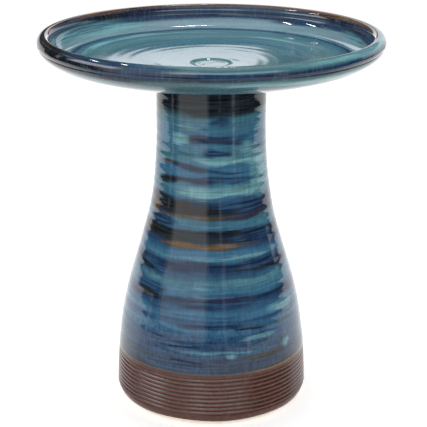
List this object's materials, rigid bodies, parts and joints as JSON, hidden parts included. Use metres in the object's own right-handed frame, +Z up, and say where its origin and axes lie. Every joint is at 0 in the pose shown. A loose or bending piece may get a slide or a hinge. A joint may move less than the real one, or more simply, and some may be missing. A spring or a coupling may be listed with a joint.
{
  "type": "bird bath",
  "caption": "Glazed stoneware bird bath: a wide shallow basin with a rolled rim that lifts off a hollow flared pedestal with a grooved base.",
  "frame": {"origin": "centre of the pedestal's foot, on the surface that the bird bath stands on", "axes": "+Z up, along the axis that both pots were turned on; X and Y are level, and the pictured side faces -Y"},
  "size_m": [0.4642, 0.4642, 0.52],
  "materials": {
    "pedestal_glaze": "gloss",
    "basin_glaze": "gloss",
    "bumper_silicone": "matte"
  },
  "bodies": {
    "pedestal": {"pedestal": "pedestal_glaze", "seat_bumper_1": "bumper_silicone", "seat_bumper_2": "bumper_silicone", "seat_bumper_3": "bumper_silicone"},
    "basin": {"basin": "basin_glaze"}
  },
  "joints": [
    {"name": "basin_lift", "type": "slide", "parent": "pedestal", "child": "basin", "axis": [0, 0, 1], "range_m": [0, 0.1]}
  ]
}
